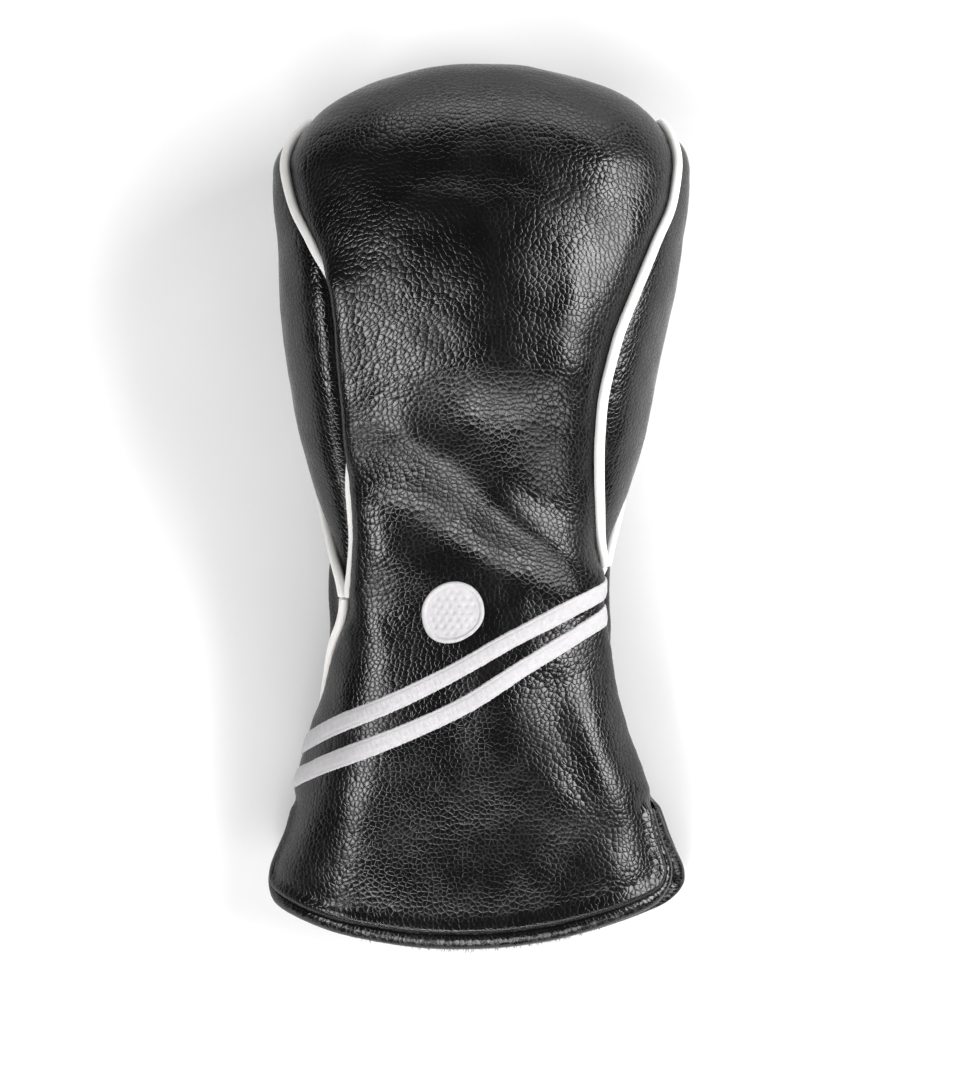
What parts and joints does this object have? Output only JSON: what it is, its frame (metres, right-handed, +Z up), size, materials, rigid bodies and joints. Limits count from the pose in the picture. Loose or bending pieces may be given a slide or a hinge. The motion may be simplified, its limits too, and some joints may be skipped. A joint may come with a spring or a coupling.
{
  "type": "driver head cover",
  "caption": "Padded leather driver head cover with teardrop side gussets, contrast piping, a pinched elastic neck and a flared shirt-tail mouth.",
  "frame": {"origin": "centre of the bounding box in plan, on the surface the cover lies on", "axes": "+Z up from the surface the cover lies on, out of its front panel; +Y towards the closed crown; -Y out of the mouth; +X to the right seen from above with the crown away"},
  "size_m": [0.1584, 0.331, 0.091],
  "materials": {
    "leather": "black pebble-grain synthetic leather, semi-gloss",
    "binding_leather": "smooth black synthetic leather, semi-gloss",
    "piping": "smooth white synthetic leather over a cord, satin",
    "embroidery": "white satin-stitch thread",
    "padding": "soft foam wadding",
    "lining": "black fleece, matte",
    "elastic": "woven elastic tape, matte"
  },
  "bodies": {
    "cover": {"front_panel": "leather", "back_panel": "leather", "right_gusset": "leather", "left_gusset": "leather", "back_flap": "leather", "back_hem_binding": "binding_leather", "right_gusset_piping": "piping", "left_gusset_piping": "piping", "right_side_piping": "piping", "left_side_piping": "piping", "upper_stripe": "embroidery", "lower_stripe": "embroidery", "ball_emblem": "embroidery", "front_padding": "padding", "back_padding": "padding", "right_gusset_padding": "padding", "left_gusset_padding": "padding", "front_lining": "lining", "back_lining": "lining", "right_gusset_lining": "lining", "left_gusset_lining": "lining", "back_flap_lining": "lining", "front_neck_elastic": "elastic", "back_neck_elastic": "elastic"},
    "mouth_flap": {"front_flap": "leather", "front_flap_lining": "lining", "front_hem_binding": "binding_leather"}
  },
  "joints": [
    {"name": "flap_lift", "type": "hinge", "parent": "cover", "child": "mouth_flap", "pos_m": [-0.001, -0.1115, 0.0508], "axis": [-1, 0, 0], "range_deg": [0, 18], "stiffness_Nm_per_rad": 0.03}
  ]
}
